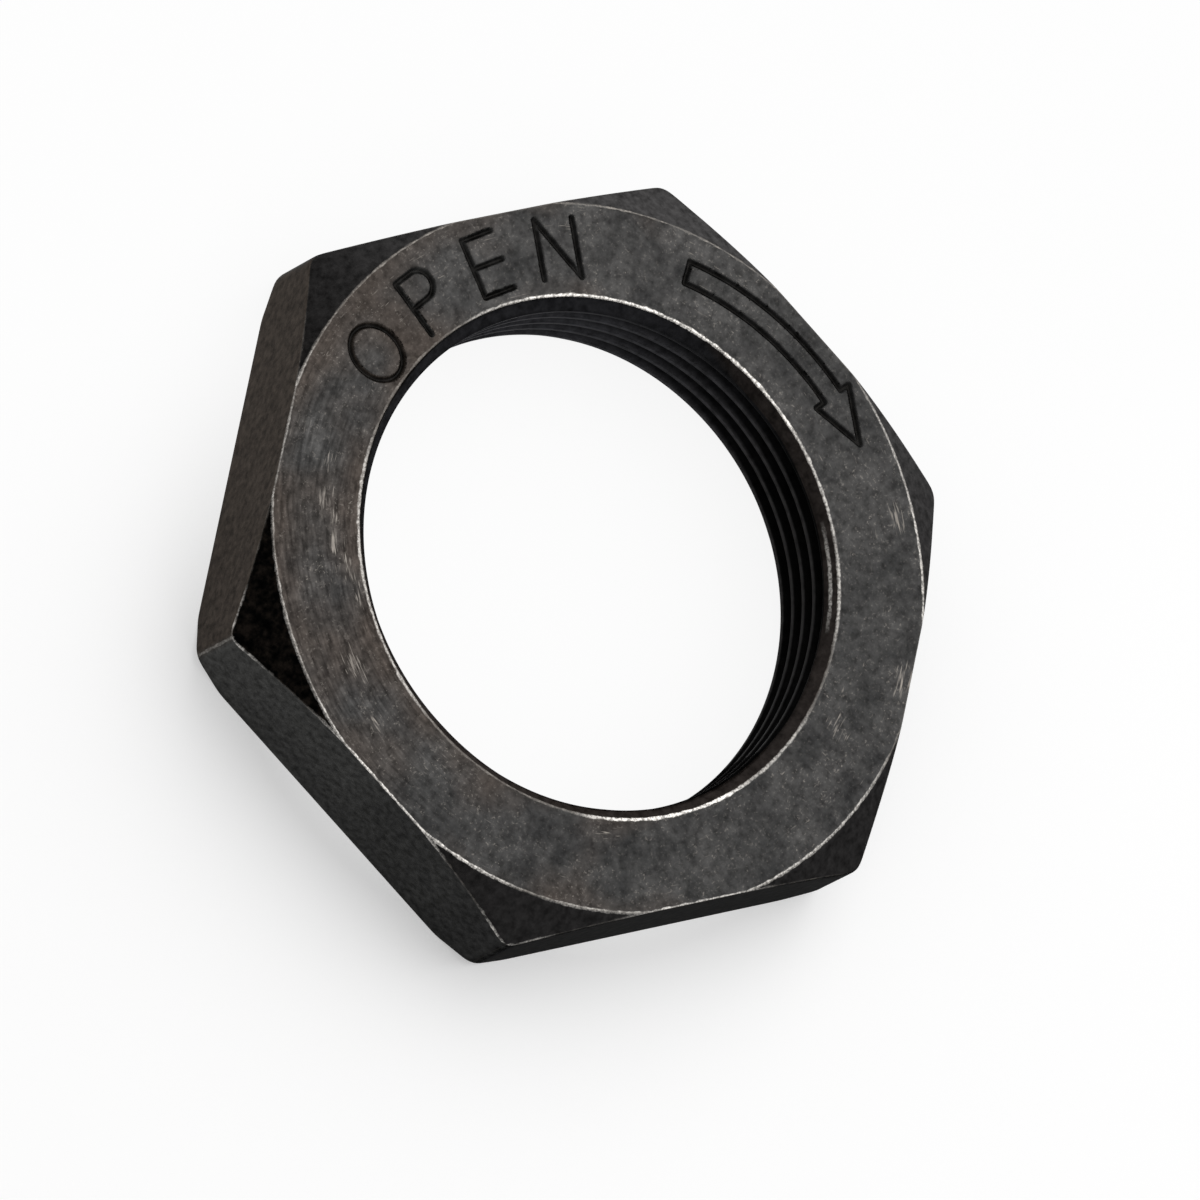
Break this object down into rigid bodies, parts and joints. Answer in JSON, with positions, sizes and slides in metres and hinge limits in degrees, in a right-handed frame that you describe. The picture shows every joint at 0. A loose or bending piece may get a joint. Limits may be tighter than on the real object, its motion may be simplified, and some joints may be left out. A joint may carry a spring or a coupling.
{
  "type": "thin hexagon locknut with left-hand thread",
  "caption": "Thin six-sided steel locknut with a large left-hand threaded bore, a wide front chamfer and an engraved direction arrow.",
  "frame": {"origin": "on the bore's axis, in the plane of the rear face that the nut lies on", "axes": "+Z along the bore's axis, out of the marked front face; +X square to one flat, on the side of the arrow; +Y through a corner, on the side of the engraved word"},
  "size_m": [0.047, 0.0538, 0.008],
  "materials": {
    "black_oxide_steel": "black oxide over turned and milled steel, worn bright along the edges"
  },
  "bodies": {
    "root": {"hex_locknut": "black_oxide_steel"}
  },
  "joints": []
}
